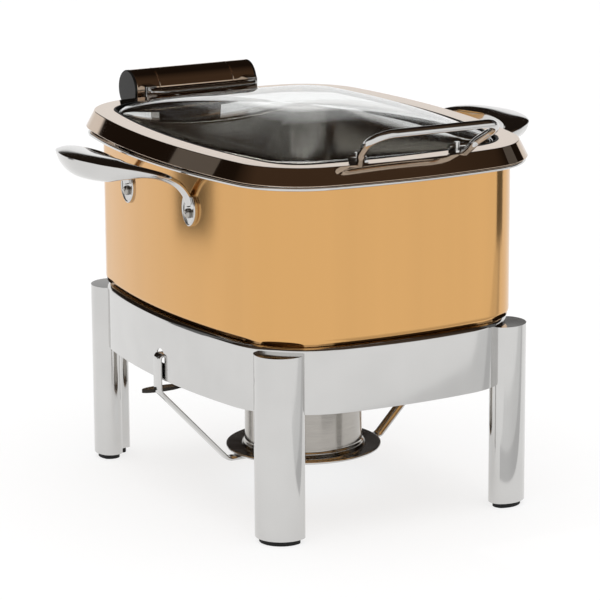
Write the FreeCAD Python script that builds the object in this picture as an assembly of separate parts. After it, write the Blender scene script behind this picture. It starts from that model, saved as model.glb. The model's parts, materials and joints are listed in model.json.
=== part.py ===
import FreeCAD, Part
import math
import os

# Hinged, glass-lidded chafer on a four-legged fuel stand.
# Millimetres, +Z up, origin on the floor under the middle of the stand.
# The lid handle is at the front (-Y), the hinge barrel at the rear (+Y)
# and the carrying handles are on the two sides (-X and +X).

V = FreeCAD.Vector
Z_DIR = V(0, 0, 1)

# ---- outline shared by the lid, the rim and the water pan ---------------------
OUTLINE = dict(half_x=174.0, half_y=224.0, side_r=800.0, end_r=690.0, corner_r=76.0)
APRON_OUTLINE = dict(half_x=168.0, half_y=216.5, side_r=815.0, end_r=640.0, corner_r=95.0)

# ---- stand --------------------------------------------------------------------
FOOT_TOP = 5.5
APRON_BOTTOM = 130.3
APRON_TOP = 198.0
APRON_WALL = 1.5
APRON_SHOULDER = 5.0
APRON_FLANGE = 20.0
LEG_X = 135.0
LEG_Y = 187.7
LEG_HALF_LONG = 25.8
LEG_HALF_DEEP = 17.2
LEG_BORE_SCALE = 0.9
LEG_CAP_BOTTOM = 190.0
LEG_CAP_TOP = 191.5
SLOT_HALF_WIDTH = 9.0
SLOT_BOTTOM = 148.0
SLOT_SPRING = 153.8

# ---- fuel holder --------------------------------------------------------------
STRAP_X = 171.2
STRAP_HOOK_X = 158.0
STRAP_HOOK_Z = 156.0
STRAP_BEND_Z = 118.0
STRAP_FLAT_X = 92.0
STRAP_FLAT_Z = 34.7
STRAP_WIDTH = 15.6
STRAP_THICK = 4.4
STRAP_BEND_R = 2.4
DISC_R = 82.3
DISC_UNDERSIDE = 36.9
DISC_TOP = 40.0
DISC_ROLL_R = 1.4
CUP_R = 61.9
CUP_TOP = 113.7
CUP_WALL = 1.2
DAMPER_Z = 114.0
DAMPER_THICK = 1.6
PIVOT_Y = 52.0
PIVOT_R = 2.5

# ---- water pan, rim and food pan ----------------------------------------------
PAN_INSET = 9.0
PAN_BOTTOM = 198.0
PAN_TOP = 357.0
PAN_WALL = 1.5
PAN_EDGE_R = 8.0
SUMP_CLEARANCE = 2.0
SUMP_BOTTOM = 186.0
RIM_OUT = 7.0
RIM_IN = 14.0
RIM_THICK = 4.0
FOOD_FLANGE_IN = 4.0
FOOD_WALL_IN = 25.0
FOOD_BASE_IN = 33.0
FOOD_THICK = 1.2
FOOD_BOTTOM = 296.0

# ---- carrying handles -----------------------------------------------------------
HANDLE_MID_Y = 8.0
HANDLE_HALF_SPAN = 69.5
HANDLE_PAD_Z = 316.0
HANDLE_PAD_THICK = 3.5
HANDLE_REACH = 247.0
HANDLE_EDGE_Z = 369.5
RIVET_R = 4.3

# ---- hinge ------------------------------------------------------------------------
HINGE_Y = 252.5
HINGE_Z = 387.5
BARREL_R = 21.0
BARREL_HALF = 75.0
BARREL_MID_HALF = 45.0
BARREL_GAP = 0.5
CAP_THICK = 2.5
PIN_R = 5.0
PIN_CLEARANCE = 0.05

# ---- lid, built level and then turned on the hinge until its front edge is down -----
LID_TILT = 0.6
RING_TOP = 383.7
RING_WIDTH = 21.0
BEVEL_OUT = 9.0
BEVEL_DROP = 17.0
RING_SHEET = 1.5
RING_SKIRT = 10.0
RING_LIP = 8.0
GASKET = 2.5
GLASS_THICK = 4.0
GLASS_RISE = 25.0
LID_BAR_R = 4.2
LID_BAR_Y = -268.98
LID_BAR_Z = 421.0
LID_BAR_HALF = 75.0
LID_BEND_R = 20.0
LID_KNEE = (66.0, -231.5, 397.0)
LID_KNEE_R = 14.0
LID_FOOT_X = 59.0
LID_FOOT_Y = -218.5
POST_X = 57.0
POST_Y = -209.5
BAIL_R = 3.0
BAIL_HALF = 62.0
BAIL_BEND_R = 9.0
BAIL_Y = 208.0
BAIL_Z = 389.5

CORNERS = {
    "front_left": (-1, -1),
    "front_right": (1, -1),
    "rear_left": (-1, 1),
    "rear_right": (1, 1),
}
SIDES = {"left": -1, "right": 1}


def save(name, shape):
    """Write one sub-part as its own STEP file."""
    shape.exportStep("parts/" + name + ".step")


# ---- outlines -----------------------------------------------------------------------
def unit(x, y):
    length = math.hypot(x, y)
    return x / length, y / length


def outline_wire(half_x, half_y, side_r, end_r, corner_r, z):
    """Closed plan of bulged sides and ends that run smoothly into round corners."""
    side_c = (half_x - side_r, 0.0)
    end_c = (0.0, half_y - end_r)
    reach_side = side_r - corner_r
    reach_end = end_r - corner_r
    gap = math.hypot(end_c[0] - side_c[0], end_c[1] - side_c[1])
    ex, ey = unit(end_c[0] - side_c[0], end_c[1] - side_c[1])
    along = (reach_side ** 2 - reach_end ** 2 + gap ** 2) / (2 * gap)
    across = math.sqrt(reach_side ** 2 - along ** 2)
    cx = side_c[0] + ex * along - ey * across
    cy = side_c[1] + ey * along + ex * across
    sx, sy = unit(cx - side_c[0], cy - side_c[1])
    tx, ty = unit(cx - end_c[0], cy - end_c[1])
    bx, by = unit(sx + tx, sy + ty)
    side = (cx + corner_r * sx, cy + corner_r * sy)
    end = (cx + corner_r * tx, cy + corner_r * ty)
    mid = (cx + corner_r * bx, cy + corner_r * by)
    loop = [(side[0], -side[1]), (half_x, 0), side, mid, end, (0, half_y), (-end[0], end[1]),
            (-mid[0], mid[1]), (-side[0], side[1]), (-half_x, 0), (-side[0], -side[1]),
            (-mid[0], -mid[1]), (-end[0], -end[1]), (0, -half_y), (end[0], -end[1]),
            (mid[0], -mid[1]), (side[0], -side[1])]
    points = [V(x, y, z) for x, y in loop]
    arcs = [Part.Arc(*points[i:i + 3]).toShape() for i in range(0, 16, 2)]
    return Part.Wire(arcs)


def grown(outline, distance, z):
    """The outline moved outward by a distance, parallel to itself."""
    return outline_wire(**{key: value + distance for key, value in outline.items()}, z=z)


def shrunk(outline, factor, z):
    """The outline made smaller about its middle."""
    return outline_wire(**{key: value * factor for key, value in outline.items()}, z=z)


def prism(wire, height):
    return Part.Face(wire).extrude(V(0, 0, height))


def edges_at(shape, z):
    """Edges that lie wholly at one height."""
    box = [(edge, edge.BoundBox) for edge in shape.Edges]
    return [edge for edge, b in box if abs(b.ZMin - z) < 0.01 and abs(b.ZMax - z) < 0.01]


def rod(corners, bends, radius):
    """Round rod of straight runs joined by tangent arcs, one bend radius for each inner corner."""
    points = [V(*corner) for corner in corners]
    pieces = []
    run_start = points[0]
    for before, here, after, bend in zip(points, points[1:], points[2:], bends):
        into = (here - before).normalize()
        out = (after - here).normalize()
        half_turn = into.getAngle(out) / 2
        arc_start = here - into * (bend * math.tan(half_turn))
        centre = here + (out - into).normalize() * (bend / math.cos(half_turn))
        section = Part.Face(Part.Wire([Part.Circle(arc_start, into, radius).toShape()]))
        pieces.append(Part.makeCylinder(radius, (arc_start - run_start).Length, run_start, into))
        pieces.append(section.revolve(centre, into.cross(out), math.degrees(2 * half_turn)))
        run_start = here + out * (bend * math.tan(half_turn))
    last_run = points[-1] - run_start
    pieces.append(Part.makeCylinder(radius, last_run.Length, run_start, last_run))
    return pieces[0].fuse(pieces[1:]).removeSplitter()


def cylinder_x(radius, x0, x1, y, z):
    return Part.makeCylinder(radius, x1 - x0, V(x0, y, z), V(1, 0, 0))


def box(x0, x1, y0, y1, z0, z1):
    return Part.makeBox(x1 - x0, y1 - y0, z1 - z0, V(x0, y0, z0))


# ---- stand ----------------------------------------------------------------------------
def apron_envelope():
    solid = prism(grown(APRON_OUTLINE, 0, APRON_BOTTOM), APRON_TOP - APRON_BOTTOM)
    return solid.makeFillet(APRON_SHOULDER, edges_at(solid, APRON_TOP))


def apron_band():
    """Polished band with a rolled shoulder, a seat for the pan and two arched strap slots."""
    inner_top = APRON_TOP - APRON_WALL
    inner = prism(grown(APRON_OUTLINE, -APRON_WALL, APRON_BOTTOM - 1), inner_top - APRON_BOTTOM + 1)
    inner = inner.makeFillet(APRON_SHOULDER - APRON_WALL, edges_at(inner, inner_top))
    seat_hole = prism(grown(APRON_OUTLINE, -APRON_FLANGE, APRON_BOTTOM), APRON_TOP)
    reach = APRON_OUTLINE["half_x"] + 10
    slot = box(-reach, reach, -SLOT_HALF_WIDTH, SLOT_HALF_WIDTH, SLOT_BOTTOM, SLOT_SPRING)
    arch = cylinder_x(SLOT_HALF_WIDTH, -reach, reach, 0, SLOT_SPRING)
    return apron_envelope().cut(inner).cut(seat_hole).cut(slot).cut(arch)


def bean_wire(sx, sy, scale_long, scale_deep, z):
    """Leg section: a round outer side and a grooved inner side, facing the corner."""
    nx, ny = unit(sx, sy)
    mx, my = -ny, nx
    long, deep = LEG_HALF_LONG * scale_long, LEG_HALF_DEEP * scale_deep
    outline = [(-long, -0.17 * deep), (0, deep), (long, -0.17 * deep),
               (0.83 * long, -0.8 * deep), (0.43 * long, -deep),
               (0, -0.66 * deep), (-0.43 * long, -deep),
               (-0.83 * long, -0.8 * deep), (-long, -0.17 * deep)]
    points = [V(sx * LEG_X + mx * t + nx * r, sy * LEG_Y + my * t + ny * r, z) for t, r in outline]
    return Part.Wire([Part.Arc(*points[i:i + 3]).toShape() for i in range(0, 8, 2)])


def leg(sx, sy, envelope):
    """Hollow leg; its outer half carries on up outside the apron, its inner half is a ledge."""
    lower = prism(bean_wire(sx, sy, 1, 1, FOOT_TOP), APRON_BOTTOM - FOOT_TOP)
    upper = prism(bean_wire(sx, sy, 1, 1, APRON_BOTTOM), LEG_CAP_BOTTOM - APRON_BOTTOM).cut(envelope)
    bore_height = APRON_BOTTOM - FOOT_TOP - 4
    bore = prism(bean_wire(sx, sy, LEG_BORE_SCALE, LEG_BORE_SCALE - 0.03, FOOT_TOP + 2), bore_height)
    return lower.cut(bore).fuse(upper).removeSplitter()


def leg_cap(sx, sy, envelope):
    return prism(bean_wire(sx, sy, 1, 1, LEG_CAP_BOTTOM), LEG_CAP_TOP - LEG_CAP_BOTTOM).cut(envelope)


def foot(sx, sy):
    return prism(bean_wire(sx, sy, 0.82, 0.76, 0), FOOT_TOP)


def flat_bar(points, thick, width, bend_r):
    """Flat bar bent in the XZ plane about a centre line, with round bends."""
    count = len(points)
    normals = []
    for a, b in zip(points[:-1], points[1:]):
        dx, dz = unit(b[0] - a[0], b[1] - a[1])
        normals.append((-dz, dx))
    upper, lower = [], []
    for i, (x, z) in enumerate(points):
        n0 = normals[max(i - 1, 0)]
        n1 = normals[min(i, count - 2)]
        mx, mz = unit(n0[0] + n1[0], n0[1] + n1[1])
        mitre = thick / 2 / (mx * n0[0] + mz * n0[1])
        upper.append(V(x + mx * mitre, -width / 2, z + mz * mitre))
        lower.append(V(x - mx * mitre, -width / 2, z - mz * mitre))
    loop = upper + lower[::-1]
    solid = Part.Face(Part.makePolygon(loop + loop[:1])).extrude(V(0, width, 0))
    bends = upper[1:-1] + lower[1:-1]
    edges = []
    for edge in solid.Edges:
        a, b = edge.Vertexes[0].Point, edge.Vertexes[-1].Point
        across = abs(a.x - b.x) < 0.01 and abs(a.z - b.z) < 0.01
        if across and any(abs(a.x - p.x) < 0.01 and abs(a.z - p.z) < 0.01 for p in bends):
            edges.append(edge)
    return solid.makeFillet(bend_r, edges)


def fuel_strap():
    half = [(STRAP_HOOK_X, STRAP_HOOK_Z), (STRAP_X, STRAP_HOOK_Z),
            (STRAP_X, STRAP_BEND_Z), (STRAP_FLAT_X, STRAP_FLAT_Z)]
    centre_line = [(-x, z) for x, z in half] + half[::-1]
    return flat_bar(centre_line, STRAP_THICK, STRAP_WIDTH, STRAP_BEND_R)


def drip_disc():
    """Drip plate with a rolled edge, a low boss that sits on the strap and a collar."""
    centre_r = DISC_R - DISC_ROLL_R
    plate = Part.makeCylinder(centre_r, DISC_ROLL_R, V(0, 0, DISC_TOP - DISC_ROLL_R))
    roll = Part.makeTorus(centre_r, DISC_ROLL_R, V(0, 0, DISC_TOP - DISC_ROLL_R))
    boss = Part.makeCylinder(30, DISC_TOP - 1 - DISC_UNDERSIDE, V(0, 0, DISC_UNDERSIDE))
    return plate.fuse([roll, boss])


def fuel_cup():
    """Open cup with a flared foot and a lug inside the rim for the damper pin."""
    outer = Part.makeCylinder(CUP_R, CUP_TOP - DISC_TOP, V(0, 0, DISC_TOP))
    foot_flare = Part.makeCone(CUP_R + 4, CUP_R, 5, V(0, 0, DISC_TOP))
    inner_r = CUP_R - CUP_WALL
    inner = Part.makeCylinder(inner_r, CUP_TOP, V(0, 0, DISC_TOP + CUP_WALL))
    lug = box(-6, 6, PIVOT_Y - 6, inner_r, CUP_TOP - 6, CUP_TOP)
    pin_hole = Part.makeCylinder(PIVOT_R, 20, V(0, PIVOT_Y, CUP_TOP - 10))
    return outer.fuse(foot_flare).cut(inner).fuse(lug).cut(pin_hole)


def damper_pin():
    """Shouldered pin that holds the damper on the lug of the cup."""
    head_z = DAMPER_Z + DAMPER_THICK + 0.3
    shank = Part.makeCylinder(PIVOT_R, head_z - CUP_TOP + 6, V(0, PIVOT_Y, CUP_TOP - 6))
    head = Part.makeCylinder(PIVOT_R + 2, 2, V(0, PIVOT_Y, head_z))
    return shank.fuse(head)


def damper_lid():
    """Swinging cover with a leaf-shaped lever that reaches out under the apron."""
    cover = Part.makeCylinder(CUP_R - 4, DAMPER_THICK, V(0, 0, DAMPER_Z))
    neck = box(-150, -50, 12, 18, DAMPER_Z, DAMPER_Z + DAMPER_THICK)
    leaf = Part.Ellipse(V(-160, 15, DAMPER_Z), 22, 6.5).toShape()
    leaf = prism(Part.Wire([leaf]), 3.6)
    bore = Part.makeCylinder(PIVOT_R + PIN_CLEARANCE, 20, V(0, PIVOT_Y, DAMPER_Z - 5))
    return cover.fuse([neck, leaf]).cut(bore)


# ---- chafer body ------------------------------------------------------------------------
def pan_envelope(shell, top_z):
    """Solid inside one skin of the pan: the deep part and the sump that steps down from it."""
    floor_z = PAN_BOTTOM + shell
    wall = prism(grown(OUTLINE, -PAN_INSET - shell, floor_z), top_z - floor_z)
    wall = wall.makeFillet(PAN_EDGE_R - shell, edges_at(wall, floor_z))
    sump_inset = APRON_FLANGE + SUMP_CLEARANCE + shell
    sump_z = SUMP_BOTTOM + shell
    sump = prism(grown(APRON_OUTLINE, -sump_inset, sump_z), floor_z - sump_z + 1)
    return wall.fuse(sump)


def water_pan():
    """Deep gold pan whose floor steps down inside the apron."""
    return pan_envelope(0, PAN_TOP).cut(pan_envelope(PAN_WALL, PAN_TOP + 1))


def pan_rim():
    """Round-edged steel rim on top of the water pan."""
    ring = prism(grown(OUTLINE, RIM_OUT, PAN_TOP), RIM_THICK)
    outer_edges = edges_at(ring, PAN_TOP) + edges_at(ring, PAN_TOP + RIM_THICK)
    ring = ring.makeFillet(RIM_THICK * 0.45, outer_edges)
    return ring.cut(prism(grown(OUTLINE, -RIM_IN, PAN_TOP - 1), RIM_THICK + 2))


def tapered(top_in, base_in, z0, z1, edge_r):
    solid = Part.makeLoft([grown(OUTLINE, -base_in, z0), grown(OUTLINE, -top_in, z1)], True, True)
    return solid.makeFillet(edge_r, edges_at(solid, z0))


def food_pan():
    """Food pan that hangs in the rim by a flat flange."""
    flange_z = PAN_TOP + RIM_THICK
    flange = prism(grown(OUTLINE, -FOOD_FLANGE_IN, flange_z), FOOD_THICK)
    top = flange_z + FOOD_THICK
    outer = tapered(FOOD_WALL_IN, FOOD_BASE_IN, FOOD_BOTTOM, top, 12)
    inner = tapered(FOOD_WALL_IN + FOOD_THICK, FOOD_BASE_IN + FOOD_THICK, FOOD_BOTTOM + FOOD_THICK,
                    top, 10.8)
    return flange.fuse(outer).cut(inner)


def lens_wire(centre, direction, width, crown, keel):
    """Section of a cast grip, square to its direction: a low crown above a deeper keel."""
    wide = direction.cross(Z_DIR).normalize()
    high = wide.cross(direction).normalize()
    a, b = centre + wide * (width / 2), centre - wide * (width / 2)
    top, low = centre + high * crown, centre - high * keel
    return Part.Wire([Part.Arc(a, top, b).toShape(), Part.Arc(b, low, a).toShape()])


def carrying_handle(side):
    """Cast handle: boat-shaped grip, two curved arms and two spade-shaped pads."""
    wall = OUTLINE["half_x"] - PAN_INSET
    span = HANDLE_HALF_SPAN
    # reach from the middle, distance along the side, height, width, crown, keel
    half = [(wall, span, 326, 11, 4.2, 4.2), (wall + 11, span, 342, 10.5, 4.2, 4.2),
            (wall + 27, span, 353, 11, 4.2, 4.5), (wall + 45, span - 1, 359.5, 14, 4, 6),
            (wall + 62, span - 9, 365, 23, 3.5, 13), (wall + 74, span - 27, 368.5, 33, 3.2, 20),
            (HANDLE_REACH, 0, HANDLE_EDGE_Z, 37, 3, 22.5)]
    stations = half + [(x, -y, *rest) for x, y, *rest in half[-2::-1]]
    centres = [V(side * x, HANDLE_MID_Y + y, z) for x, y, z, *_ in stations]
    wires = []
    for i, (x, y, z, width, crown, keel) in enumerate(stations):
        ahead = centres[min(i + 1, len(centres) - 1)]
        behind = centres[max(i - 1, 0)]
        wires.append(lens_wire(centres[i], (ahead - behind).normalize(), width, crown, keel))
    handle = Part.makeLoft(wires, True, False)
    for end in (-1, 1):
        handle = handle.fuse(handle_pad(side, HANDLE_MID_Y + end * HANDLE_HALF_SPAN))
    return handle


def wall_x(y):
    """Distance of the water pan's side wall from the middle at a place along it."""
    radius = OUTLINE["side_r"] - PAN_INSET
    return OUTLINE["half_x"] - PAN_INSET - radius + math.sqrt(radius ** 2 - y ** 2)


def handle_pad(side, y):
    """Spade-shaped pad that follows the bulged wall of the pan."""
    outline = [(-9, 15.5), (-13.5, 6), (-13, -4), (-7.5, -12), (0, -15.5), (7.5, -12), (13, -4),
               (13.5, 6), (9, 15.5)]
    face = wall_x(y) + HANDLE_PAD_THICK
    points = [V(face, y + t, HANDLE_PAD_Z + z) for t, z in outline]
    curve = Part.BSplineCurve()
    curve.interpolate(points)
    wire = Part.Wire([curve.toShape(), Part.makeLine(points[-1], points[0])])
    pad = Part.Face(wire).extrude(V(-12, 0, 0))
    pad = pad.cut(prism(grown(OUTLINE, -PAN_INSET, HANDLE_PAD_Z - 60), 120))
    if side < 0:
        pad = pad.mirror(V(0, 0, 0), V(1, 0, 0))
    return pad


def handle_rivets():
    """Domed rivets through the pads and the pan wall."""
    rivets = []
    for side in SIDES.values():
        for end in (-1, 1):
            y = HANDLE_MID_Y + end * HANDLE_HALF_SPAN
            face = wall_x(y) + HANDLE_PAD_THICK
            shank = cylinder_x(RIVET_R * 0.6, face - 12, face + 1, y, HANDLE_PAD_Z - 2)
            head = Part.makeSphere(RIVET_R * 1.25, V(face - 2.2, y, HANDLE_PAD_Z - 2))
            head = head.common(box(face, face + 10, y - 10, y + 10, 0, 400))
            rivet = shank.fuse(head)
            if side < 0:
                rivet = rivet.mirror(V(0, 0, 0), V(1, 0, 0))
            rivets.append(rivet)
    return Part.Compound(rivets)


def hinge_bracket():
    """Rear bracket that carries the middle of the barrel from the pan wall."""
    shelf = box(-38, 38, 205, HINGE_Y + 10, 340, 350)
    post = box(-38, 38, HINGE_Y - 10, HINGE_Y + 10, 340, HINGE_Z)
    body = shelf.fuse(post).removeSplitter()
    body = body.cut(cylinder_x(BARREL_R, -60, 60, HINGE_Y, HINGE_Z))
    return body.cut(prism(grown(OUTLINE, -PAN_INSET, 300), 100))


def barrel_segment(x0, x1, bore_r):
    segment = cylinder_x(BARREL_R, x0, x1, HINGE_Y, HINGE_Z)
    return segment.cut(cylinder_x(bore_r, x0 - 1, x1 + 1, HINGE_Y, HINGE_Z))


# ---- lid ------------------------------------------------------------------------------------
def tilted(shape):
    """Turn a level lid piece on the hinge line until the front edge of the lid is down."""
    turned = shape.copy()
    turned.rotate(V(0, HINGE_Y, HINGE_Z), V(1, 0, 0), LID_TILT)
    return turned


def ring_layer(top_offset, bottom_offset, drop):
    """Frustum between the lid's top edge and the lower edge of its bevel."""
    low = grown(OUTLINE, bottom_offset, RING_TOP - drop)
    high = grown(OUTLINE, top_offset, RING_TOP)
    return Part.makeLoft([low, high], True, True)


def lid_ring():
    """Bevelled sheet-metal ring with an inner skirt and a lip that carries the glass."""
    outer = ring_layer(0, BEVEL_OUT, BEVEL_DROP)
    hollow = ring_layer(-RING_SHEET * 1.6, BEVEL_OUT - RING_SHEET, BEVEL_DROP)
    hollow.translate(V(0, 0, -RING_SHEET))
    skirt = prism(grown(OUTLINE, -RING_WIDTH + RING_SHEET, RING_TOP - RING_SKIRT), RING_SKIRT - 0.1)
    glass_hole = prism(grown(OUTLINE, -RING_WIDTH, RING_TOP - RING_SKIRT + RING_SHEET), 40)
    view_hole = prism(grown(OUTLINE, -RING_WIDTH - RING_LIP, RING_TOP - 60), 100)
    return outer.cut(hollow).fuse(skirt).cut(glass_hole).cut(view_hole)


def glass_gasket():
    """Dark seal between the ring and the edge of the glass."""
    z = RING_TOP - RING_SKIRT + RING_SHEET
    ring = prism(grown(OUTLINE, -RING_WIDTH, z), RING_SKIRT - RING_SHEET + 0.4)
    return ring.cut(prism(grown(OUTLINE, -RING_WIDTH - GASKET, z - 1), RING_SKIRT + 2))


def dome(outline, base_z, rise):
    """Solid under a dome that rises steeply at its edge and is nearly flat on top."""
    wires = [shrunk(outline, 1, base_z - 4)]
    for factor in (1.0, 0.985, 0.955, 0.91, 0.85, 0.77, 0.67, 0.55, 0.42, 0.28, 0.14):
        height = rise * (1 - factor ** 2.4) ** 0.62
        wires.append(shrunk(outline, factor, base_z + height))
    return Part.makeLoft(wires, True, True)


def glass_dome():
    inset = RING_WIDTH + GASKET
    outer_outline = {key: value - inset for key, value in OUTLINE.items()}
    inner_outline = {key: value - inset - GLASS_THICK for key, value in OUTLINE.items()}
    base_z = RING_TOP - RING_SKIRT + RING_SHEET + 4
    outer = dome(outer_outline, base_z, GLASS_RISE)
    inner = dome(inner_outline, base_z - 4, GLASS_RISE)
    return outer.cut(inner)


def lid_handle():
    """Round grip rod that bends back and down to the front of the ring at both ends."""
    foot_z = RING_TOP - 1
    half = [(LID_FOOT_X, LID_FOOT_Y, foot_z), LID_KNEE, (LID_BAR_HALF, LID_BAR_Y, LID_BAR_Z)]
    corners = [(-x, y, z) for x, y, z in half] + half[::-1]
    bends = (LID_KNEE_R, LID_BEND_R)
    return rod(corners, bends + bends[::-1], LID_BAR_R)


def handle_post(side):
    """Clamp behind one foot of the lid handle: base plate, stud and round cross pin."""
    x = side * POST_X
    base = box(x - 7, x + 7, POST_Y - 9, POST_Y + 5, RING_TOP, RING_TOP + 2.5)
    stud = Part.makeCylinder(2.8, 9.5, V(x, POST_Y, RING_TOP))
    pin = cylinder_x(2.8, x - 9, x + 9, POST_Y + 1, RING_TOP + 5.2)
    return base.fuse([stud, pin]).cut(lid_handle())


def hinge_bail():
    """U-shaped rod on the rear of the ring, with its ends turned back to the barrel."""
    back_y = HINGE_Y - BARREL_R + 1
    half = [(BAIL_HALF, back_y, BAIL_Z), (BAIL_HALF, BAIL_Y, BAIL_Z)]
    corners = [(-x, y, z) for x, y, z in half] + half[::-1]
    return rod(corners, (BAIL_BEND_R, BAIL_BEND_R), BAIL_R)


def hinge_knuckle(side):
    """Clamp that joins an end of the bail to the turning part of the barrel and the ring."""
    x = side * BAIL_HALF
    clamp = box(x - 6, x + 6, HINGE_Y - 34, HINGE_Y - 16, RING_TOP, BAIL_Z + 6)
    clamp = clamp.makeFillet(2, [e for e in clamp.Edges if e.BoundBox.ZMin > BAIL_Z])
    return clamp.cut(cylinder_x(BARREL_R, -90, 90, HINGE_Y, HINGE_Z)).cut(hinge_bail())


def ring_screws():
    """Small domed screws on the rear of the ring."""
    screws = []
    for side in SIDES.values():
        shank = Part.makeCylinder(1.8, 4, V(side * 32, 216, RING_TOP - 2))
        head = Part.makeSphere(4, V(side * 32, 216, RING_TOP - 1))
        head = head.common(box(-90, 90, 200, 230, RING_TOP, RING_TOP + 5))
        screws.append(shank.fuse(head))
    return Part.Compound(screws)


def build_stand():
    envelope = apron_envelope()
    save("apron_band", apron_band())
    for name, (sx, sy) in CORNERS.items():
        save("leg_" + name, leg(sx, sy, envelope))
        save("leg_cap_" + name, leg_cap(sx, sy, envelope))
        save("foot_" + name, foot(sx, sy))
    save("fuel_strap", fuel_strap())
    save("drip_disc", drip_disc())
    save("fuel_cup", fuel_cup())
    save("damper_pin", damper_pin())
    save("damper_lid", damper_lid())


def build_body():
    save("water_pan", water_pan())
    save("pan_rim", pan_rim())
    save("food_pan", food_pan())
    for name, side in SIDES.items():
        save("carrying_handle_" + name, carrying_handle(side))
    save("handle_rivets", handle_rivets())
    save("hinge_bracket", hinge_bracket())
    save("hinge_barrel_middle", barrel_segment(-BARREL_MID_HALF, BARREL_MID_HALF, PIN_R))
    pin_end = BARREL_HALF - CAP_THICK - 1
    save("hinge_pin", cylinder_x(PIN_R, -pin_end, pin_end, HINGE_Y, HINGE_Z))


def build_lid():
    save("lid_ring", tilted(lid_ring()))
    save("glass_gasket", tilted(glass_gasket()))
    save("glass_dome", tilted(glass_dome()))
    save("lid_handle", tilted(lid_handle()))
    save("hinge_bail", tilted(hinge_bail()))
    save("ring_screws", tilted(ring_screws()))
    for name, side in SIDES.items():
        save("handle_post_" + name, tilted(handle_post(side)))
        save("hinge_knuckle_" + name, tilted(hinge_knuckle(side)))
        ends = sorted((side * (BARREL_MID_HALF + BARREL_GAP), side * (BARREL_HALF - CAP_THICK)))
        save("hinge_barrel_" + name, barrel_segment(ends[0], ends[1], PIN_R + PIN_CLEARANCE))
        cap = sorted((side * (BARREL_HALF - CAP_THICK), side * BARREL_HALF))
        save("hinge_cap_" + name, cylinder_x(BARREL_R, cap[0], cap[1], HINGE_Y, HINGE_Z))


os.makedirs("parts", exist_ok=True)
build_stand()
build_body()
build_lid()
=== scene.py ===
import json
import math
import bmesh
import bpy
from mathutils import Matrix, Vector


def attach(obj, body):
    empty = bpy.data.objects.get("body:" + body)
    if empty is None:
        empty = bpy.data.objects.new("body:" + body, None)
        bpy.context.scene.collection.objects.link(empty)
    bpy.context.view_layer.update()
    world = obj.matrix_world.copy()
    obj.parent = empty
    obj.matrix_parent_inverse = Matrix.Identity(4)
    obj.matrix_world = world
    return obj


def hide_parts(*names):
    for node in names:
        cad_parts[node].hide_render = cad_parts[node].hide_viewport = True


# Hinged, glass-lidded chafer on a four-legged fuel stand. Metres, +Z up, in the frame of the part.

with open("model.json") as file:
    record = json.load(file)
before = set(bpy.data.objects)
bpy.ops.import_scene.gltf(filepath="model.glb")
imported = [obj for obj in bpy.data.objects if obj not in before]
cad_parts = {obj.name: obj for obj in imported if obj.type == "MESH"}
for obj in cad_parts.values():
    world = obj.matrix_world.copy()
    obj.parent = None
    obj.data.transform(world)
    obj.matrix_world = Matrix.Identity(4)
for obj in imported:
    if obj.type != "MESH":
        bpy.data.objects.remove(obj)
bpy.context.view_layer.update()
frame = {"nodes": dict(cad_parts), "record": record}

# ---- driving dimensions, as the part has them ---------------------------------------------
OUTLINE = dict(half_x=0.174, half_y=0.224, side_r=0.800, end_r=0.690, corner_r=0.076)
APRON = dict(half_x=0.168, half_y=0.2165, side_r=0.815, end_r=0.640, corner_r=0.095)
ARC_STEPS = 36

APRON_BOTTOM = 0.1303
APRON_TOP = 0.198
APRON_WALL = 0.0015
SHOULDER_R = 0.005
SEAT_IN = 0.020
SLOT_HALF = 0.009
SLOT_BOTTOM = 0.148
SLOT_SPRING = 0.1538

STRAP_PATH = ((0.158, 0.156), (0.1712, 0.156), (0.1712, 0.118), (0.092, 0.0347))
STRAP_BENDS = (0.0035, 0.009, 0.008)
STRAP_WIDTH = 0.0156
STRAP_THICK = 0.0044
DISC_R = 0.0823
DISC_TOP = 0.040
DISC_UNDERSIDE = 0.0369
CUP_R = 0.0619
CUP_TOP = 0.1137
CUP_WALL = 0.0012

PAN_IN = 0.009
PAN_BOTTOM = 0.198
PAN_TOP = 0.357
PAN_WALL = 0.0015
PAN_EDGE_R = 0.008
SUMP_BOTTOM = 0.186
SUMP_CLEARANCE = 0.002
SUMP_CHAMFER = 0.002
PAN_FLOOR_IN = 0.028
RIM_OUT = 0.007
RIM_IN = 0.014
RIM_TOP = 0.361
FOOD_BOTTOM = 0.296
FOOD_THICK = 0.0012
FOOD_FLANGE_IN = 0.004
FOOD_FLOOR_EDGE = 0.02

HANDLE_Y = 0.008
HANDLE_SPAN = 0.0695
HANDLE_REACH = 0.247
HANDLE_EDGE_Z = 0.3695
PAD_Z = 0.316
PAD_THICK = 0.0035
RIVET_R = 0.0054

HINGE_Y = 0.2525
HINGE_Z = 0.3875
BARREL_R = 0.021
BARREL_HALF = 0.075
BARREL_MID = 0.045
BARREL_GAP = 0.0005
CAP_THICK = 0.0025
PIN_BORE = 0.0051

LID_TILT = math.radians(0.6)
RING_TOP = 0.3837
RING_WIDTH = 0.021
BEVEL_OUT = 0.009
BEVEL_DROP = 0.017
SHEET = 0.0015
RING_SKIRT = 0.010
RING_LIP = 0.008
GASKET = 0.0025
GLASS_THICK = 0.004
GLASS_RISE = 0.025
GLASS_EDGE = 0.004
LID_BAR_R = 0.0042
LID_ROD = ((0.059, -0.2185, 0.3827, 0), (0.066, -0.2315, 0.397, 0.014), (0.075, -0.26898, 0.421, 0.020))
BAIL_R = 0.003
BAIL_ROD = ((0.062, 0.2325, 0.3895, 0), (0.062, 0.208, 0.3895, 0.009))
SCREW_X = 0.032
SCREW_Y = 0.216

SIDES = {"left": -1, "right": 1}
TAU = 2 * math.pi


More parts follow.
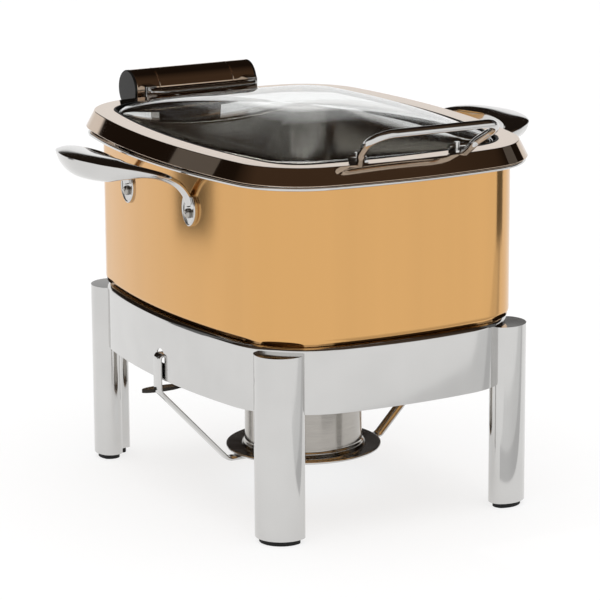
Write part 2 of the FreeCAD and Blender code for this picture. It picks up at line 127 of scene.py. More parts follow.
# ---- materials -------------------------------------------------------------------------------
def new_material(name):
    material = bpy.data.materials.new(name)
    material.use_nodes = True
    tree = material.node_tree
    shader = tree.nodes["Principled BSDF"]
    return material, tree, shader


def grain(tree, scale, stretch, detail=3.0):
    """Noise in the part's own space; stretch makes it run along an axis."""
    place = tree.nodes.new("ShaderNodeTexCoord")
    mapping = tree.nodes.new("ShaderNodeMapping")
    mapping.inputs["Scale"].default_value = stretch
    noise = tree.nodes.new("ShaderNodeTexNoise")
    noise.inputs["Scale"].default_value = scale
    noise.inputs["Detail"].default_value = detail
    tree.links.new(place.outputs["Object"], mapping.inputs["Vector"])
    tree.links.new(mapping.outputs["Vector"], noise.inputs["Vector"])
    return noise.outputs["Fac"]


def spread(tree, value, low, high):
    """Noise value carried to a range of its own."""
    node = tree.nodes.new("ShaderNodeMapRange")
    node.inputs["From Min"].default_value = 0.35
    node.inputs["From Max"].default_value = 0.65
    node.inputs["To Min"].default_value = low
    node.inputs["To Max"].default_value = high
    tree.links.new(value, node.inputs["Value"])
    return node.outputs["Result"]


def tint(tree, value, dark, light):
    ramp = tree.nodes.new("ShaderNodeValToRGB")
    ramp.color_ramp.elements[0].position = 0.35
    ramp.color_ramp.elements[0].color = (*dark, 1)
    ramp.color_ramp.elements[1].position = 0.65
    ramp.color_ramp.elements[1].color = (*light, 1)
    tree.links.new(value, ramp.inputs["Fac"])
    return ramp.outputs["Color"]


def relief(tree, value, strength, distance):
    bump = tree.nodes.new("ShaderNodeBump")
    bump.inputs["Strength"].default_value = strength
    bump.inputs["Distance"].default_value = distance
    tree.links.new(value, bump.inputs["Height"])
    return bump.outputs["Normal"]


def metal(name, color, vary, rough, stretch=(1, 1, 1), scale=18.0, bump=0.0):
    """Metal with a little cloudiness in its colour and polish, and brush lines if stretched."""
    material, tree, shader = new_material(name)
    shader.inputs["Metallic"].default_value = 1.0
    value = grain(tree, scale, stretch)
    dark = tuple(c * (1 - vary) for c in color)
    tree.links.new(tint(tree, value, dark, color), shader.inputs["Base Color"])
    tree.links.new(spread(tree, value, *rough), shader.inputs["Roughness"])
    if bump:
        tree.links.new(relief(tree, value, bump, 0.0002), shader.inputs["Normal"])
    return material


def dull(name, color, rough, scale=400.0):
    """Dark, weakly reflecting material with a fine grain."""
    material, tree, shader = new_material(name)
    shader.inputs["Specular IOR Level"].default_value = 0.15
    value = grain(tree, scale, (1, 1, 1))
    tree.links.new(tint(tree, value, tuple(c * 0.6 for c in color), color), shader.inputs["Base Color"])
    tree.links.new(spread(tree, value, *rough), shader.inputs["Roughness"])
    tree.links.new(relief(tree, value, 0.15, 0.0003), shader.inputs["Normal"])
    return material


def clear_glass(name):
    material, tree, shader = new_material(name)
    shader.inputs["Base Color"].default_value = (0.97, 0.99, 0.98, 1)
    shader.inputs["Transmission Weight"].default_value = 1.0
    shader.inputs["IOR"].default_value = 1.5
    value = grain(tree, 9.0, (1, 1, 1))
    tree.links.new(spread(tree, value, 0.0, 0.015), shader.inputs["Roughness"])
    return material


MATERIALS = {
    "mirror_steel": metal("mirror_steel", (0.62, 0.615, 0.605), 0.05, (0.08, 0.12)),
    "satin_steel": metal("satin_steel", (0.42, 0.40, 0.37), 0.08, (0.14, 0.20), (1, 1, 12), 60.0, 0.03),
    "brushed_steel": metal("brushed_steel", (0.50, 0.475, 0.44), 0.10, (0.12, 0.17), (1, 1, 0.06), 60.0,
                           0.02),
    "dark_steel": metal("dark_steel", (0.05, 0.045, 0.04), 0.4, (0.25, 0.4)),
    "gold_steel": metal("gold_steel", (0.68, 0.385, 0.145), 0.04, (0.10, 0.14), (1, 1, 0.02), 26.0),
    "rose_steel": metal("rose_steel", (0.54, 0.42, 0.32), 0.02, (0.025, 0.05)),
    "black_plastic": dull("black_plastic", (0.012, 0.011, 0.010), (0.12, 0.2)),
    "black_seal": dull("black_seal", (0.012, 0.012, 0.012), (0.35, 0.5)),
    "clear_glass": clear_glass("clear_glass"),
    "foot_rubber": dull("foot_rubber", (0.02, 0.02, 0.02), (0.5, 0.7)),
}


# ---- meshes -------------------------------------------------------------------------------------
def make(name, verts, faces, slot, body, nodes=()):
    """Mesh piece with its finish, its body and the part's nodes that it stands for."""
    mesh = bpy.data.meshes.new(name)
    mesh.from_pydata(verts, [], faces)
    mesh.validate()
    piece = bpy.data.objects.new(name, mesh)
    bpy.context.scene.collection.objects.link(piece)
    piece.data.materials.append(MATERIALS[slot])
    recalculate(mesh)
    for polygon in mesh.polygons:
        polygon.use_smooth = True
    weigh(piece)
    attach(piece, body)
    if nodes:
        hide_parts(*nodes)
    return piece


def recalculate(mesh):
    """Turn every face outward."""
    work = bmesh.new()
    work.from_mesh(mesh)
    bmesh.ops.recalc_face_normals(work, faces=work.faces)
    work.to_mesh(mesh)
    work.free()


def weigh(piece):
    """Large faces keep their own direction, so that the small rounded edges take the bend."""
    modifier = piece.modifiers.new("weighted", "WEIGHTED_NORMAL")
    modifier.mode = "FACE_AREA"
    modifier.weight = 50


def quads(rows, count, closed):
    """Faces between rows of points that each go once round."""
    faces = []
    pairs = rows if closed else rows - 1
    for i in range(pairs):
        a, b = i * count, ((i + 1) % rows) * count
        faces += [(a + j, a + (j + 1) % count, b + (j + 1) % count, b + j) for j in range(count)]
    return faces


def loft(name, loops, slot, body, nodes=(), closed=False, ends=True, level=True):
    """Skin over loops of points; a closed one joins the last loop to the first."""
    count = len(loops[0])
    verts = [Vector(p) for row in loops for p in row]
    if not level:
        verts = [TILTED @ v for v in verts]
    faces = quads(len(loops), count, closed)
    if ends and not closed:
        faces.append(tuple(range(count)))
        faces.append(tuple(range(len(verts) - count, len(verts))))
    return make(name, verts, faces, slot, body, nodes)


def rounded(corners, closed=False, steps=5):
    """Profile with round corners; a corner is its two measures and its radius."""
    points = []
    last = len(corners) - 1
    for i, (u, v, radius) in enumerate(corners):
        here = Vector((u, v))
        if radius == 0 or (not closed and i in (0, last)):
            points.append(here)
            continue
        before = Vector(corners[i - 1][:2]) - here
        after = Vector(corners[(i + 1) % len(corners)][:2]) - here
        half = before.angle(after) / 2
        reach = min(radius / math.tan(half), 0.48 * before.length, 0.48 * after.length)
        toward_before, toward_after = before.normalized(), after.normalized()
        centre = here + (toward_before + toward_after).normalized() * reach / math.cos(half)
        start = here + toward_before * reach - centre
        end = here + toward_after * reach - centre
        turn = start.angle_signed(end)
        for k in range(steps + 1):
            angle = -turn * k / steps
            points.append(centre + Matrix.Rotation(angle, 2) @ start)
    return points


TILTED = (Matrix.Translation((0, HINGE_Y, HINGE_Z)) @ Matrix.Rotation(LID_TILT, 4, "X")
          @ Matrix.Translation((0, -HINGE_Y, -HINGE_Z)))


def plan(half_x, half_y, side_r, end_r, corner_r):
    """Points round the plan with the outward direction at each."""
    side_c = Vector((half_x - side_r, 0))
    end_c = Vector((0, half_y - end_r))
    reach_side, reach_end = side_r - corner_r, end_r - corner_r
    gap = end_c - side_c
    along = (reach_side ** 2 - reach_end ** 2 + gap.length ** 2) / (2 * gap.length)
    across = math.sqrt(reach_side ** 2 - along ** 2)
    line = gap.normalized()
    corner = side_c + line * along + Vector((-line.y, line.x)) * across
    a = math.atan2(corner.y, corner.x - side_c.x)
    b = math.atan2(corner.y - end_c.y, corner.x)
    corners = [(corner.x * sx, corner.y * sy) for sx, sy in ((1, 1), (-1, 1), (-1, -1), (1, -1))]
    turns = [
        ((side_c.x, 0), side_r, -a, a), (corners[0], corner_r, a, b),
        ((0, end_c.y), end_r, b, math.pi - b), (corners[1], corner_r, math.pi - b, math.pi - a),
        ((-side_c.x, 0), side_r, math.pi - a, math.pi + a),
        (corners[2], corner_r, math.pi + a, math.pi + b),
        ((0, -end_c.y), end_r, math.pi + b, TAU - b), (corners[3], corner_r, TAU - b, TAU - a)]
    points = []
    for (cx, cy), radius, start, end in turns:
        for k in range(ARC_STEPS):
            t = start + (end - start) * k / ARC_STEPS
            points.append((cx + radius * math.cos(t), cy + radius * math.sin(t), math.cos(t), math.sin(t)))
    return points


LID_PLAN = plan(**OUTLINE)
APRON_PLAN = plan(**APRON)


def loop_at(points, offset, z):
    return [(x + nx * offset, y + ny * offset, z) for x, y, nx, ny in points]


def loop_scaled(points, offset, factor, z):
    return [((x + nx * offset) * factor, (y + ny * offset) * factor, z) for x, y, nx, ny in points]


def band(name, points, corners, slot, body, node, level=True):
    """Ring with one closed profile all the way round the plan."""
    loops = [loop_at(points, d, z) for d, z in rounded(corners, closed=True)]
    return loft(name, loops, slot, body, (node,), closed=True, level=level)


def lathe(name, corners, slot, body, nodes=(), axis="Z", origin=(0, 0, 0), sides=96, closed=True,
          level=True):
    """Turned piece from a profile of (radius, height along the axis, corner radius)."""
    turn = {"Z": Matrix.Identity(4), "X": Matrix.Rotation(math.pi / 2, 4, "Y")}[axis]
    place = Matrix.Translation(origin) @ turn
    loops = []
    for radius, height in rounded(corners, closed=closed):
        circle = [(radius * math.cos(TAU * k / sides), radius * math.sin(TAU * k / sides), height)
                  for k in range(sides)]
        loops.append([place @ Vector(p) for p in circle])
    return loft(name, loops, slot, body, nodes, closed=closed, level=level)


def bent_path(half, steps=14):
    """Centre line of a rod with arcs at its corners, from one half and its mirror image."""
    corners = [(-x, y, z, r) for x, y, z, r in half] + list(half[::-1])
    points = [Vector(corner[:3]) for corner in corners]
    line = [points[0]]
    for before, here, after, corner in zip(points, points[1:], points[2:], corners[1:]):
        into, out = (here - before).normalized(), (after - here).normalized()
        half_turn = into.angle(out) / 2
        start = here - into * corner[3] * math.tan(half_turn)
        centre = here + (out - into).normalized() * corner[3] / math.cos(half_turn)
        axis = into.cross(out)
        line += [centre + Matrix.Rotation(2 * half_turn * k / steps, 3, axis) @ (start - centre)
                 for k in range(steps + 1)]
    return line + points[-1:]


def smooth_path(points, steps=12):
    """Catmull-Rom line through values of any length, with even speed."""
    values = [Vector(p) for p in points]
    values = [2 * values[0] - values[1]] + values + [2 * values[-1] - values[-2]]
    line = []
    for i in range(1, len(values) - 2):
        p0, p1, p2, p3 = values[i - 1:i + 3]
        for k in range(steps):
            t = k / steps
            line.append(0.5 * ((2 * p1) + (p2 - p0) * t + (2 * p0 - 5 * p1 + 4 * p2 - p3) * t ** 2
                               + (3 * p1 - p0 - 3 * p2 + p3) * t ** 3))
    line.append(values[-2])
    return line


def tube(name, path, radius, slot, body, nodes=(), sides=32, level=True):
    """Round rod along a path, its section turned as little as the path allows."""
    loops = []
    normal = None
    for i, point in enumerate(path):
        ahead = (path[min(i + 1, len(path) - 1)] - path[max(i - 1, 0)]).normalized()
        if normal is None:
            normal = ahead.orthogonal().normalized()
        normal = (normal - ahead * normal.dot(ahead)).normalized()
        other = ahead.cross(normal)
        angles = [TAU * k / sides for k in range(sides)]
        loops.append([point + radius * (normal * math.cos(t) + other * math.sin(t)) for t in angles])
    return loft(name, loops, slot, body, nodes, level=level)


# ---- lid -------------------------------------------------------------------------------------------
def lid_ring():
    flat_under = RING_TOP - SHEET
    lip = RING_TOP - RING_SKIRT
    corners = [
        (0, RING_TOP, 0.0009), (BEVEL_OUT, RING_TOP - BEVEL_DROP, 0.0005),
        (BEVEL_OUT - SHEET * 1.6, RING_TOP - BEVEL_DROP, 0.0003), (-SHEET * 1.6, flat_under, 0),
        (-RING_WIDTH + SHEET, flat_under, 0), (-RING_WIDTH + SHEET, lip, 0),
        (-RING_WIDTH - RING_LIP, lip, 0.0003), (-RING_WIDTH - RING_LIP, lip + SHEET, 0.0003),
        (-RING_WIDTH, lip + SHEET, 0), (-RING_WIDTH, RING_TOP, 0.0006)]
    band("lid_ring_polished", LID_PLAN, corners, "rose_steel", "lid", "lid_ring", level=False)


def gasket():
    low = RING_TOP - RING_SKIRT + SHEET
    top = RING_TOP + 0.0004
    corners = [(-RING_WIDTH, low, 0), (-RING_WIDTH, top, 0.0008),
               (-RING_WIDTH - GASKET, top, 0.0008), (-RING_WIDTH - GASKET, low, 0)]
    band("glass_seal", LID_PLAN, corners, "black_seal", "lid", "glass_gasket", level=False)


def dome_loops(offset, base, rise):
    """Sections of the dome from its edge to near its middle."""
    loops = [loop_at(LID_PLAN, offset, base - GLASS_EDGE)]
    steps = 44
    for k in range(steps):
        factor = math.cos(math.pi / 2 * k / steps)
        height = rise * (1 - factor ** 2.4) ** 0.62
        loops.append(loop_scaled(LID_PLAN, offset, factor, base + height))
    return loops


def glass():
    inset = RING_WIDTH + GASKET
    base = RING_TOP - RING_SKIRT + SHEET + GLASS_EDGE
    outer = dome_loops(-inset, base, GLASS_RISE)
    inner = dome_loops(-inset - GLASS_THICK, base, GLASS_RISE - GLASS_THICK)
    loft("glass_dome_clear", outer[::-1] + inner, "clear_glass", "lid", ("glass_dome",), level=False)


def lid_handle():
    tube("lid_grip_rod", bent_path(LID_ROD), LID_BAR_R, "mirror_steel", "lid", ("lid_handle",), level=False)


def bail():
    tube("hinge_bail_rod", bent_path(BAIL_ROD), BAIL_R, "mirror_steel", "lid", ("hinge_bail",), level=False)


def screws():
    for name, side in SIDES.items():
        corners = [(0.0003, 0.0028, 0), (0.0022, 0.0026, 0.0012), (0.0038, 0.0006, 0.0008), (0.0038, 0, 0)]
        nodes = ("ring_screws",) if side > 0 else ()
        lathe("ring_screw_" + name, corners, "mirror_steel", "lid", nodes,
              origin=(side * SCREW_X, SCREW_Y, RING_TOP), sides=40, closed=False, level=False)


def barrel():
    for name, side in SIDES.items():
        low, high = sorted((side * (BARREL_MID + BARREL_GAP), side * (BARREL_HALF - CAP_THICK)))
        tubular("hinge_barrel_%s_turned" % name, low, high, "lid", "hinge_barrel_" + name)
        low, high = sorted((side * (BARREL_HALF - CAP_THICK), side * BARREL_HALF))
        edge = 0.0012
        radii = (0.0005, edge) if side > 0 else (edge, 0.0005)
        corners = [(0.0003, low, 0), (BARREL_R, low, radii[0]), (BARREL_R, high, radii[1]), (0.0003, high, 0)]
        lathe("hinge_cap_%s_turned" % name, corners, "black_plastic", "lid", ("hinge_cap_" + name,),
              axis="X", origin=(0, HINGE_Y, HINGE_Z), closed=False)
    tubular("hinge_barrel_middle_turned", -BARREL_MID, BARREL_MID, "chafer_body", "hinge_barrel_middle")


def tubular(name, low, high, body, node):
    """Barrel segment with small chamfered ends."""
    corners = [(PIN_BORE, low, 0), (BARREL_R, low, 0.0006), (BARREL_R, high, 0.0006), (PIN_BORE, high, 0)]
    lathe(name, corners, "rose_steel", body, (node,), axis="X", origin=(0, HINGE_Y, HINGE_Z))


# ---- chafer body --------------------------------------------------------------------------------------
def water_pan():
    sump_in = SEAT_IN + SUMP_CLEARANCE
    outside = rounded([(-PAN_IN, PAN_TOP, 0), (-PAN_IN, PAN_BOTTOM, PAN_EDGE_R),
                       (-PAN_FLOOR_IN, PAN_BOTTOM, 0)], steps=8)
    loops = [loop_at(LID_PLAN, d, z) for d, z in outside]
    loops.append(loop_at(APRON_PLAN, -sump_in, PAN_BOTTOM))
    loops.append(loop_at(APRON_PLAN, -sump_in, SUMP_BOTTOM + SUMP_CHAMFER))
    loops.append(loop_at(APRON_PLAN, -sump_in - SUMP_CHAMFER, SUMP_BOTTOM))
    inside = [(-PAN_IN - PAN_WALL, PAN_BOTTOM + PAN_WALL), (-PAN_IN - PAN_WALL, PAN_TOP)]
    loops = [loop_at(LID_PLAN, d, z) for d, z in inside] + loops
    loft("water_pan_gold", loops, "gold_steel", "chafer_body", ("water_pan",))


def rim():
    corners = [(-RIM_IN, PAN_TOP, 0.0005), (RIM_OUT, PAN_TOP, 0.0019),
               (RIM_OUT, RIM_TOP, 0.0019), (-RIM_IN, RIM_TOP, 0.0005)]
    band("pan_rim_bead", LID_PLAN, corners, "mirror_steel", "chafer_body", "pan_rim")


def food_pan():
    top = RIM_TOP + FOOD_THICK
    wall_in, base_in, base_r = 0.025, 0.033, 0.012
    floor_in = base_in + FOOD_FLOOR_EDGE
    outside = rounded([(-FOOD_FLANGE_IN, RIM_TOP + 0.0001, 0.0003), (-wall_in, RIM_TOP + 0.0001, 0.0005),
                       (-base_in, FOOD_BOTTOM, base_r), (-floor_in, FOOD_BOTTOM, 0)])
    inside = rounded([(-floor_in, FOOD_BOTTOM + FOOD_THICK, 0),
                      (-base_in - FOOD_THICK, FOOD_BOTTOM + FOOD_THICK, base_r),
                      (-wall_in - FOOD_THICK, top, 0.003), (-FOOD_FLANGE_IN, top, 0)], steps=8)
    loops = [loop_at(LID_PLAN, d, z) for d, z in inside + outside]
    loft("food_pan_brushed", loops, "brushed_steel", "chafer_body", ("food_pan",))


def wall_x(y):
    """Distance of the pan's side wall from the middle."""
    radius = OUTLINE["side_r"] - PAN_IN
    return OUTLINE["half_x"] - PAN_IN - radius + math.sqrt(radius ** 2 - y ** 2)


def boat_section(centre, ahead, width, crown, keel, sides=36):
    """Section with a low crown, narrow edges and a deeper keel, square to its direction."""
    wide = ahead.cross(Vector((0, 0, 1))).normalized()
    high = wide.cross(ahead).normalized()
    loop = []
    for k in range(sides):
        t = TAU * k / sides
        depth = crown if math.sin(t) > 0 else keel
        lift = math.copysign(abs(math.sin(t)) ** 1.25, math.sin(t))
        loop.append(centre + wide * (width / 2 * math.cos(t)) + high * (depth * lift))
    return loop


def carrying_handle(name, side):
    wall = OUTLINE["half_x"] - PAN_IN
    span = HANDLE_SPAN
    # reach from the middle, distance along the side, height, width, crown, keel
    half = [(wall - 0.002, span, 0.322, 0.0105, 0.0042, 0.0042),
            (wall + 0.003, span, 0.334, 0.010, 0.004, 0.004),
            (wall + 0.012, span, 0.3445, 0.0095, 0.004, 0.004),
            (wall + 0.027, span, 0.353, 0.0105, 0.004, 0.0043),
            (wall + 0.045, span - 0.001, 0.3595, 0.0135, 0.0039, 0.006),
            (wall + 0.062, span - 0.009, 0.365, 0.0225, 0.0034, 0.013),
            (wall + 0.074, span - 0.027, 0.3685, 0.0325, 0.003, 0.020),
            (HANDLE_REACH, 0, HANDLE_EDGE_Z, 0.0365, 0.0028, 0.0222)]
    stations = half + [(x, -y, *rest) for x, y, *rest in half[-2::-1]]
    line = smooth_path([(side * x, HANDLE_Y + y, *rest) for x, y, *rest in stations], steps=8)
    loops = []
    for i, value in enumerate(line):
        ahead = (Vector(line[min(i + 1, len(line) - 1)][:3]) - Vector(line[max(i - 1, 0)][:3])).normalized()
        loops.append(boat_section(Vector(value[:3]), ahead, *value[3:]))
    loft("carrying_handle_%s_cast" % name, loops, "mirror_steel", "chafer_body",
         ("carrying_handle_" + name,))
    for end in (-1, 1):
        place = "front" if end < 0 else "rear"
        handle_pad("handle_pad_%s_%s" % (name, place), side, HANDLE_Y + end * HANDLE_SPAN)


def handle_pad(name, side, y):
    """Spade-shaped pad with a raised rim, on the bulged wall."""
    outline = [(-0.009, 0.0155), (-0.0135, 0.006), (-0.013, -0.004), (-0.0075, -0.012), (0, -0.0155),
               (0.0075, -0.012), (0.013, -0.004), (0.0135, 0.006), (0.009, 0.0155), (0, 0.0165)]
    closed = outline + outline[:1]
    line = smooth_path([(0, u, v) for u, v in closed], steps=5)[:-1]
    face = wall_x(y) + PAD_THICK
    rows = [(1.0, -0.0075), (1.0, -0.0012), (0.965, -0.0003), (0.92, 0), (0.86, -0.0004), (0.80, -0.0009),
            (0.5, -0.0009), (0.1, -0.0009)]
    loops = [[(side * (face + depth), y + p.y * scale, PAD_Z + p.z * scale) for p in line]
             for scale, depth in rows]
    loft(name, loops, "mirror_steel", "chafer_body")


def rivets():
    for name, side in SIDES.items():
        for end in (-1, 1):
            y = HANDLE_Y + end * HANDLE_SPAN
            place = "front" if end < 0 else "rear"
            corners = [(0.0003, 0.0030, 0), (RIVET_R * 0.6, 0.0027, 0.002), (RIVET_R * 0.9, 0.0012, 0.001),
                       (RIVET_R * 0.95, -0.001, 0)]
            corners = [(r, side * h, c) for r, h, c in corners]
            nodes = ("handle_rivets",) if (side, end) == (1, 1) else ()
            lathe("handle_rivet_%s_%s" % (name, place), corners, "satin_steel", "chafer_body", nodes,
                  axis="X", origin=(side * (wall_x(y) + PAD_THICK), y, PAD_Z - 0.002), sides=40, closed=False)


# ---- stand ------------------------------------------------------------------------------------------------
def apron():
    corners = [(0, APRON_BOTTOM, 0.0004), (0, APRON_TOP, SHOULDER_R), (-SEAT_IN, APRON_TOP, 0.0004),
               (-SEAT_IN, APRON_TOP - APRON_WALL, 0.0004),
               (-APRON_WALL, APRON_TOP - APRON_WALL, SHOULDER_R - APRON_WALL),
               (-APRON_WALL, APRON_BOTTOM, 0.0004)]
    piece = band("apron_polished", APRON_PLAN, corners, "mirror_steel", "stand", "apron_band")
    reach = APRON["half_x"] + 0.02
    arch = [(SLOT_HALF * math.cos(math.pi * k / 16), SLOT_SPRING + SLOT_HALF * math.sin(math.pi * k / 16))
            for k in range(17)]
    shape = [(SLOT_HALF, SLOT_BOTTOM)] + arch + [(-SLOT_HALF, SLOT_BOTTOM)]
    count = len(shape)
    verts = [(x, y, z) for x in (-reach, reach) for y, z in shape]
    faces = quads(2, count, False) + [tuple(range(count)), tuple(range(count, 2 * count))]
    mesh = bpy.data.meshes.new("slot_cutter")
    mesh.from_pydata(verts, [], faces)
    recalculate(mesh)
    cutter = bpy.data.objects.new("slot_cutter", mesh)
    bpy.context.scene.collection.objects.link(cutter)
    modifier = piece.modifiers.new("slots", "BOOLEAN")
    modifier.object = cutter
    modifier.solver = "EXACT"
    piece.modifiers.move(1, 0)
    view = bpy.context.evaluated_depsgraph_get()
    cut = bpy.data.meshes.new_from_object(piece.evaluated_get(view))
    piece.modifiers.clear()
    piece.data = cut
    weigh(piece)
    bpy.data.objects.remove(cutter)


def strap():
    """Half-round bar that hangs from the two slots and carries the drip plate."""
    half = [(x, z, r) for (x, z), r in zip(STRAP_PATH, (0,) + STRAP_BENDS)]
    corners = half + [(-x, z, r) for x, z, r in half[::-1]]
    path = rounded(corners, steps=8)
    loops = []
    for i, point in enumerate(path):
        along = (path[min(i + 1, len(path) - 1)] - path[max(i - 1, 0)]).normalized()
        outward = Vector((along.y, -along.x))
        loop = []
        for k in range(24):
            t = TAU * k / 24
            u = STRAP_WIDTH / 2 * math.copysign(abs(math.cos(t)) ** 0.6, math.cos(t))
            v = STRAP_THICK / 2 * math.copysign(abs(math.sin(t)) ** 0.75, math.sin(t))
            loop.append((point.x + outward.x * v, u, point.y + outward.y * v))
        loops.append(loop)
    loft("fuel_strap_bar", loops, "mirror_steel", "stand", ("fuel_strap",))


def disc():
    roll = 0.0014
    corners = [(0.0005, DISC_UNDERSIDE, 0), (0.030, DISC_UNDERSIDE, 0.0005),
               (0.031, DISC_TOP - 0.0014, 0.0004), (DISC_R - 2 * roll, DISC_TOP - 0.0014, 0.0004),
               (DISC_R - 2 * roll, DISC_TOP - 0.0028, roll * 0.9), (DISC_R, DISC_TOP - 0.0028, roll * 0.9),
               (DISC_R, DISC_TOP, roll * 0.9), (0.0005, DISC_TOP, 0)]
    lathe("drip_disc_turned", corners, "mirror_steel", "stand", ("drip_disc",), sides=160, closed=False)


def cup():
    inner = CUP_R - CUP_WALL
    floor_z = DISC_TOP + CUP_WALL
    corners = [(0.0005, floor_z, 0), (inner, floor_z, 0.002), (inner, CUP_TOP, 0.0004),
               (CUP_R, CUP_TOP, 0.0004),
               (CUP_R, DISC_TOP + 0.005, 0.004), (CUP_R + 0.004, DISC_TOP, 0)]
    lathe("fuel_cup_drawn", corners, "satin_steel", "stand", ("fuel_cup",), sides=160, closed=False)


# ---- look of the carried-over nodes -----------------------------------------------------------------------
def dress_nodes():
    """Finish of the nodes that are shown as they are."""
    slots = {row["node"]: row["material_slot"] for row in frame["record"]["subparts"]}
    for name, node in frame["nodes"].items():
        material = MATERIALS[slots[name]]
        node.data.materials.clear()
        node.data.materials.append(material)


# ---- studio -------------------------------------------------------------------------------------------
# azimuth, elevation and roll of the camera in degrees, and its distance from the target in metres
CAMERA_TURNS = (-29.58, 14.03, -0.31)
CAMERA_TARGET = (0, 0, 0.135)
CAMERA_DISTANCE = 3.32117
SENSOR_MM = 36
LENS_MM = 189.4944
CAMERA_SHIFT = (-0.0048333, 0.0901667)
FLOOR_HALF = 14.0
FLOOR_GLOW = 0.8
ROOM_AXIS = (0.479, 0.844, 0)
WHITE = (1, 1, 1)
# height of the white surround and colour of the ceiling, from ahead of the part (0) to behind it (1)
WHITE_HEIGHT = ((0.14, (0.42,) * 3), (0.27, (0.045,) * 3), (0.84, (0.045,) * 3), (0.90, (0.205,) * 3))
CEILING = ((0.36, (0.075, 0.050, 0.033)), (0.62, (0.016, 0.011, 0.008)))
WHITE_FADE = 0.025
SUN_STRENGTH = 3.1
SUN_SPREAD = 70


def floor():
    material, tree, shader = new_material("studio_floor")
    shader.inputs["Base Color"].default_value = (0.2, 0.2, 0.2, 1)
    shader.inputs["Emission Color"].default_value = (*WHITE, 1)
    shader.inputs["Emission Strength"].default_value = FLOOR_GLOW
    shader.inputs["Roughness"].default_value = 0.9
    shader.inputs["Specular IOR Level"].default_value = 0.1
    half = FLOOR_HALF
    mesh = bpy.data.meshes.new("floor")
    corners = [(-half, -half, 0), (half, -half, 0), (half, half, 0), (-half, half, 0)]
    mesh.from_pydata(corners, [], [(0, 1, 2, 3)])
    mesh.materials.append(material)
    plane = bpy.data.objects.new("floor", mesh)
    bpy.context.scene.collection.objects.link(plane)


def sky():
    """White surround with a dark ceiling; the white reaches higher ahead of the part and behind it."""
    world = bpy.data.worlds.new("studio")
    world.use_nodes = True
    tree = world.node_tree
    background = tree.nodes["Background"]
    place = tree.nodes.new("ShaderNodeTexCoord")
    split = tree.nodes.new("ShaderNodeSeparateXYZ")
    tree.links.new(place.outputs["Generated"], split.inputs["Vector"])
    facing = tree.nodes.new("ShaderNodeVectorMath")
    facing.operation = "DOT_PRODUCT"
    facing.inputs[1].default_value = ROOM_AXIS
    tree.links.new(place.outputs["Generated"], facing.inputs[0])
    turn = tree.nodes.new("ShaderNodeMapRange")
    turn.inputs["From Min"].default_value = -1
    tree.links.new(facing.outputs["Value"], turn.inputs["Value"])
    edge = shades(tree, turn.outputs["Result"], WHITE_HEIGHT)
    above = tree.nodes.new("ShaderNodeMath")
    above.operation = "SUBTRACT"
    tree.links.new(split.outputs["Z"], above.inputs[0])
    tree.links.new(edge, above.inputs[1])
    ceiling = shades(tree, turn.outputs["Result"], CEILING)
    amount = tree.nodes.new("ShaderNodeMapRange")
    amount.inputs["From Max"].default_value = WHITE_FADE
    tree.links.new(above.outputs["Value"], amount.inputs["Value"])
    mix = tree.nodes.new("ShaderNodeMix")
    mix.data_type = "RGBA"
    mix.inputs["A"].default_value = (*WHITE, 1)
    tree.links.new(amount.outputs["Result"], mix.inputs["Factor"])
    tree.links.new(ceiling, mix.inputs["B"])
    tree.links.new(mix.outputs["Result"], background.inputs["Color"])
    background.inputs["Strength"].default_value = 1.0
    bpy.context.scene.world = world


def shades(tree, value, stops):
    """Colour that changes along a value from stop to stop."""
    ramp = tree.nodes.new("ShaderNodeValToRGB")
    elements = ramp.color_ramp.elements
    while len(elements) < len(stops):
        elements.new(0.5)
    for element, (position, color) in zip(elements, stops):
        element.position = position
        element.color = (*color, 1)
    tree.links.new(value, ramp.inputs["Fac"])
    return ramp.outputs["Color"]


def overhead(strength, spread_angle):
    """Wide soft light from above that mirrors do not show."""
    data = bpy.data.lights.new("overhead", "SUN")
    data.energy = strength
    data.angle = math.radians(spread_angle)
    obj = bpy.data.objects.new("overhead", data)
    obj.visible_glossy = False
    bpy.context.scene.collection.objects.link(obj)


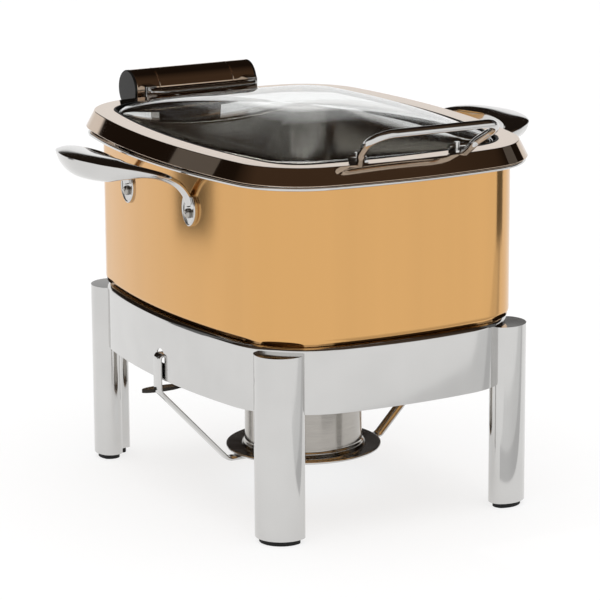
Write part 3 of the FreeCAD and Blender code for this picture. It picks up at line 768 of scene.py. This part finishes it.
def card(name, corners, glow):
    """Grey card beside the set that shows only in mirrors."""
    material, tree, shader = new_material(name)
    shader.inputs["Base Color"].default_value = (0, 0, 0, 1)
    shader.inputs["Emission Color"].default_value = (*WHITE, 1)
    shader.inputs["Emission Strength"].default_value = glow
    mesh = bpy.data.meshes.new(name)
    mesh.from_pydata(corners, [], [(0, 1, 2, 3)])
    mesh.materials.append(material)
    piece = bpy.data.objects.new(name, mesh)
    piece.visible_camera = piece.visible_diffuse = piece.visible_shadow = piece.visible_transmission = False
    bpy.context.scene.collection.objects.link(piece)


def flag(name, azimuth, width, glow, distance=1.5, height=1.2):
    """Card that stands upright and faces the part."""
    angle = math.radians(azimuth)
    out = Vector((math.cos(angle), math.sin(angle), 0))
    side = Vector((-out.y, out.x, 0)) * width / 2
    up = Vector((0, 0, height))
    foot = out * distance
    card(name, [foot - side, foot + side, foot + side + up, foot - side + up], glow)


def ground_card(name, x, y, glow, z=0.001):
    """Card that lies on the floor."""
    card(name, [(x[0], y[0], z), (x[1], y[0], z), (x[1], y[1], z), (x[0], y[1], z)], glow)


def camera():
    azimuth, elevation, roll = (math.radians(turn) for turn in CAMERA_TURNS)
    back = Vector((math.sin(azimuth) * math.cos(elevation), -math.cos(azimuth) * math.cos(elevation),
                   math.sin(elevation)))
    right = Vector((math.cos(azimuth), math.sin(azimuth), 0))
    turn = Matrix((right, back.cross(right), back)).transposed() @ Matrix.Rotation(roll, 3, "Z")
    data = bpy.data.cameras.new("camera")
    data.sensor_width = SENSOR_MM
    data.lens = LENS_MM
    data.shift_x, data.shift_y = CAMERA_SHIFT
    data.clip_end = 60
    obj = bpy.data.objects.new("camera", data)
    obj.matrix_world = Matrix.Translation(Vector(CAMERA_TARGET) + back * CAMERA_DISTANCE) @ turn.to_4x4()
    bpy.context.scene.collection.objects.link(obj)
    bpy.context.scene.camera = obj


dress_nodes()
lid_ring()
gasket()
glass()
lid_handle()
bail()
screws()
barrel()
water_pan()
rim()
food_pan()
for side_name, side_sign in SIDES.items():
    carrying_handle(side_name, side_sign)
rivets()
apron()
strap()
disc()
cup()

floor()
sky()
overhead(SUN_STRENGTH, SUN_SPREAD)
flag("flag_right", -14, 0.45, 0.12)
flag("flag_left", 134, 0.3, 0.15)
ground_card("card_right_inner", (0.02, 1.5), (-0.42, -0.30), 0.62)
ground_card("card_right_outer", (0.02, 1.5), (-0.66, -0.42), 0.80)
camera()
bpy.context.scene.view_settings.view_transform = "Standard"
